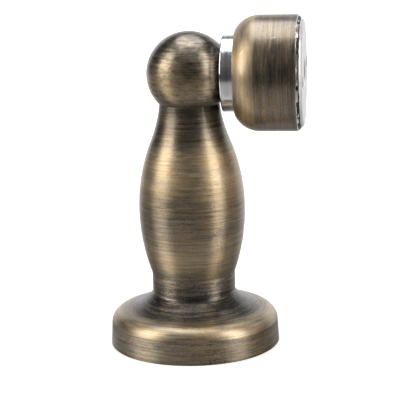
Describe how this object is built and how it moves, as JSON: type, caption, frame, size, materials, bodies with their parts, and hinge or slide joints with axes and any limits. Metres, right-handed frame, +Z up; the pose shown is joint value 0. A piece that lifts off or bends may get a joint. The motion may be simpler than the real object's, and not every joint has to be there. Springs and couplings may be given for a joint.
{
  "type": "magnetic door stop",
  "caption": "Floor stand with a magnet in its ball head, holding a round door-mounted catch whose sprung plunger takes the knock.",
  "frame": {"origin": "centre of the foot's underside, on the floor", "axes": "+Z up the stand, +X along the catch from the ball head to the door plate"},
  "size_m": [0.0574, 0.0492, 0.0951],
  "materials": {
    "antique_bronze": "brushed antique bronze plating on zinc alloy",
    "satin_steel": "satin nickel plated steel",
    "bright_steel": "bright plated steel",
    "magnet": "nickel plated magnet",
    "spring_steel": "bare spring wire",
    "zinc_steel": "zinc plated steel"
  },
  "bodies": {
    "stand": {"stand_body": "antique_bronze", "floor_plate": "zinc_steel", "floor_stud": "zinc_steel", "stud_nut": "zinc_steel", "magnet_pot": "bright_steel", "ring_magnet": "magnet", "magnet_screw": "zinc_steel"},
    "catch": {"catch_cup": "antique_bronze", "door_plate": "bright_steel", "buffer_spring": "spring_steel"},
    "plunger": {"strike_plunger": "satin_steel"}
  },
  "joints": [
    {"name": "catch_release", "type": "slide", "parent": "stand", "child": "catch", "axis": [1, 0, 0], "range_m": [0, 0.06]},
    {"name": "plunger_press", "type": "slide", "parent": "catch", "child": "plunger", "axis": [1, 0, 0], "range_m": [0, 0.003], "stiffness_N_per_m": 800, "springref_m": -0.003, "deforming": ["buffer_spring"]}
  ]
}
